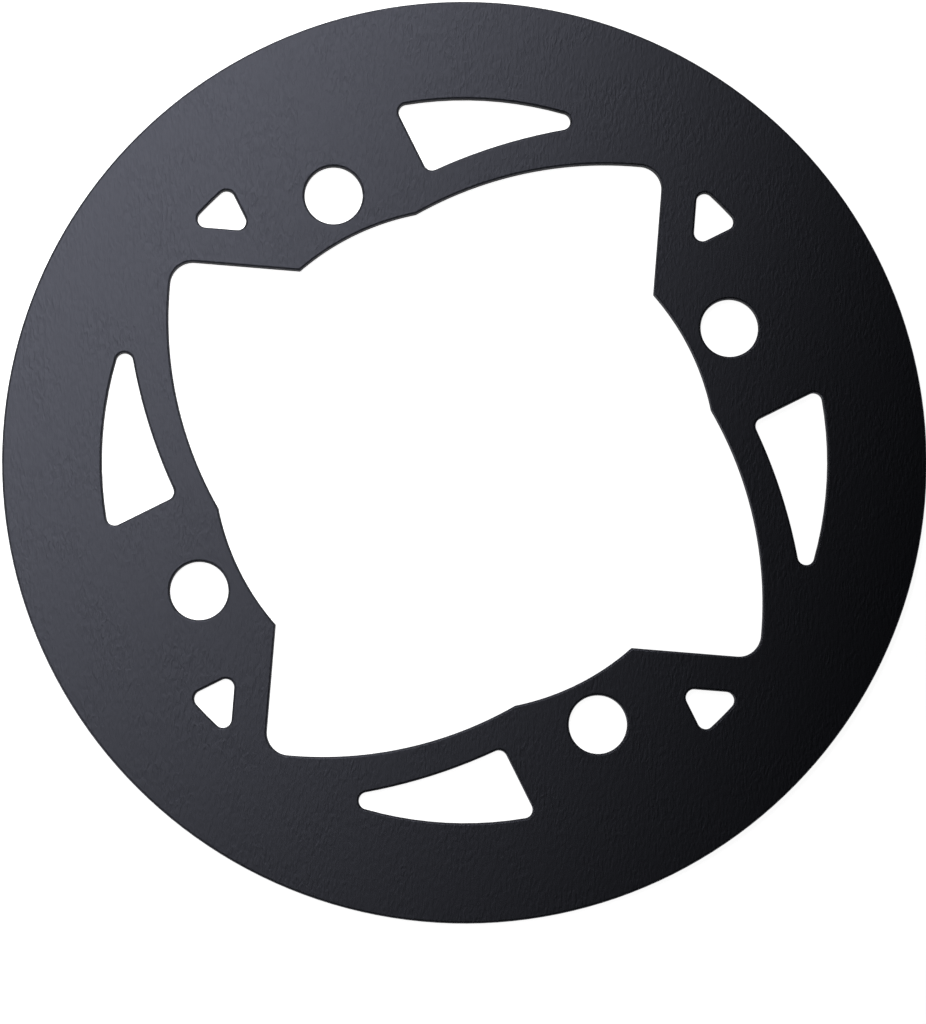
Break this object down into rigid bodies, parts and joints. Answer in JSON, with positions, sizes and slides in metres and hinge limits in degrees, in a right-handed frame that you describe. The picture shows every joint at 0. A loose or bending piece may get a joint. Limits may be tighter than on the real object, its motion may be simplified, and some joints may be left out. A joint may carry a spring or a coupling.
{
  "type": "bicycle chain guard",
  "caption": "Flat round chain guard sheet with a pinwheel-shaped central opening, wedge and triangle windows, and bolt holes on a standard chainring bolt circle.",
  "frame": {"origin": "bolt circle's centre on the back face, the bottom centre of the box", "axes": "+Z out of the front face, away from the bicycle; +X through a bolt hole"},
  "size_m": [0.1623, 0.1622, 0.002],
  "materials": {
    "grained_black": "satin"
  },
  "bodies": {
    "root": {"chain_guard": "grained_black"}
  },
  "joints": []
}
